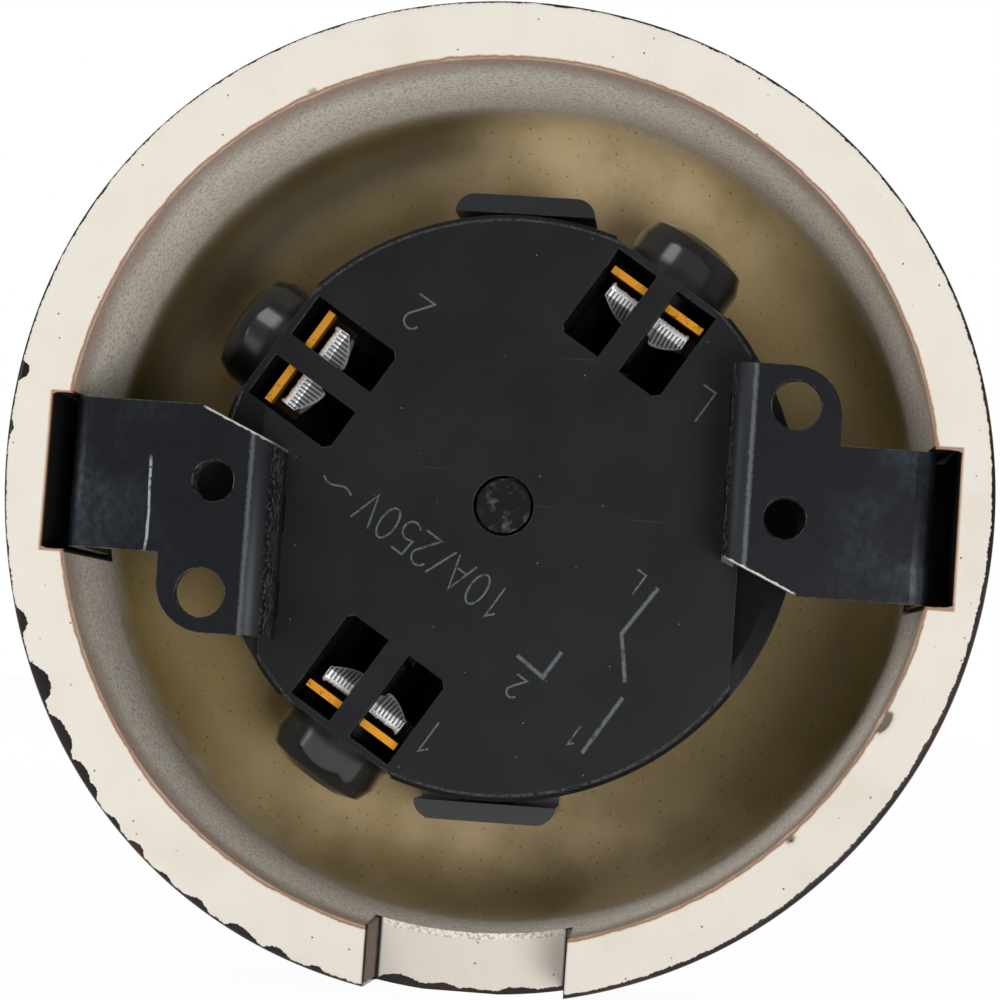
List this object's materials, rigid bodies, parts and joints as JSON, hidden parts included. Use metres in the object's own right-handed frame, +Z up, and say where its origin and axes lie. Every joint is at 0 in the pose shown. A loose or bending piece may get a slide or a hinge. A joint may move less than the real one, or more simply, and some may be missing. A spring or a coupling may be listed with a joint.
{
  "type": "surface-mounted rotary light switch",
  "caption": "Round ceramic surface-mounted rotary two-way light switch with a knob on the front and its mechanism, brackets and screw terminals open at the back.",
  "frame": {"origin": "where the spindle axis meets the wall plane, level with the foot rim of the housing", "axes": "+Z up as installed with the cable notch at the bottom, +Y into the wall, the knob faces -Y, +X to the right of a person who faces the knob"},
  "size_m": [0.0806, 0.0458, 0.0806],
  "materials": {
    "ceramic_glaze": "dark brown glaze outside, bare cream foot rim, speckled olive glaze inside",
    "black_moulding": "moulded, fine texture",
    "knob_moulding": "moulded, polished",
    "dark_steel": "dark passivated sheet, scuffed",
    "bright_steel": "zinc plated",
    "brass": "pressed",
    "fibre": "vulcanised fibre"
  },
  "bodies": {
    "frame": {"ceramic_housing": "ceramic_glaze", "mechanism_base": "black_moulding", "mechanism_cover": "black_moulding", "threaded_bush": "brass", "fibre_washer": "fibre", "ring_nut": "brass", "detent_springs": "bright_steel", "bracket_right": "dark_steel", "bracket_left": "dark_steel", "contact_strip_L": "brass", "contact_strip_2": "brass", "contact_strip_1": "brass"},
    "turning": {"knob": "knob_moulding", "knob_grub_screw": "bright_steel", "spindle": "bright_steel", "rotor": "black_moulding", "contact_bridge": "brass"},
    "screw_L": {"terminal_screw_L": "bright_steel"},
    "clamp_L": {"terminal_clamp_L": "bright_steel"},
    "screw_2": {"terminal_screw_2": "bright_steel"},
    "clamp_2": {"terminal_clamp_2": "bright_steel"},
    "screw_1": {"terminal_screw_1": "bright_steel"},
    "clamp_1": {"terminal_clamp_1": "bright_steel"}
  },
  "joints": [
    {"name": "knob_turn", "type": "hinge", "parent": "frame", "child": "turning", "pos_m": [0, -0.02, 0], "axis": [0, 1, 0], "continuous": true},
    {"name": "screw_turn_L", "type": "hinge", "parent": "frame", "child": "screw_L", "pos_m": [-0.01075, -0.0135, 0.01687], "axis": [0.5373, 0, -0.8434], "range_deg": [-1801, 217]},
    {"name": "clamp_slide_L", "type": "slide", "parent": "frame", "child": "clamp_L", "axis": [-0.5373, 0, 0.8434], "range_m": [-0.0025, 0.0003]},
    {"name": "screw_turn_2", "type": "hinge", "parent": "frame", "child": "screw_2", "pos_m": [0.01687, -0.0135, 0.01075], "axis": [-0.8434, 0, -0.5373], "range_deg": [-1801, 217]},
    {"name": "clamp_slide_2", "type": "slide", "parent": "frame", "child": "clamp_2", "axis": [0.8434, 0, 0.5373], "range_m": [-0.0025, 0.0003]},
    {"name": "screw_turn_1", "type": "hinge", "parent": "frame", "child": "screw_1", "pos_m": [0.01075, -0.0135, -0.01687], "axis": [-0.5373, 0, 0.8434], "range_deg": [-1801, 217]},
    {"name": "clamp_slide_1", "type": "slide", "parent": "frame", "child": "clamp_1", "axis": [0.5373, 0, -0.8434], "range_m": [-0.0025, 0.0003]}
  ],
  "couplings": [
    {"joint": "screw_turn_L", "follows": "clamp_slide_L", "rad_per_m": 12566},
    {"joint": "screw_turn_2", "follows": "clamp_slide_2", "rad_per_m": 12566},
    {"joint": "screw_turn_1", "follows": "clamp_slide_1", "rad_per_m": 12566}
  ]
}
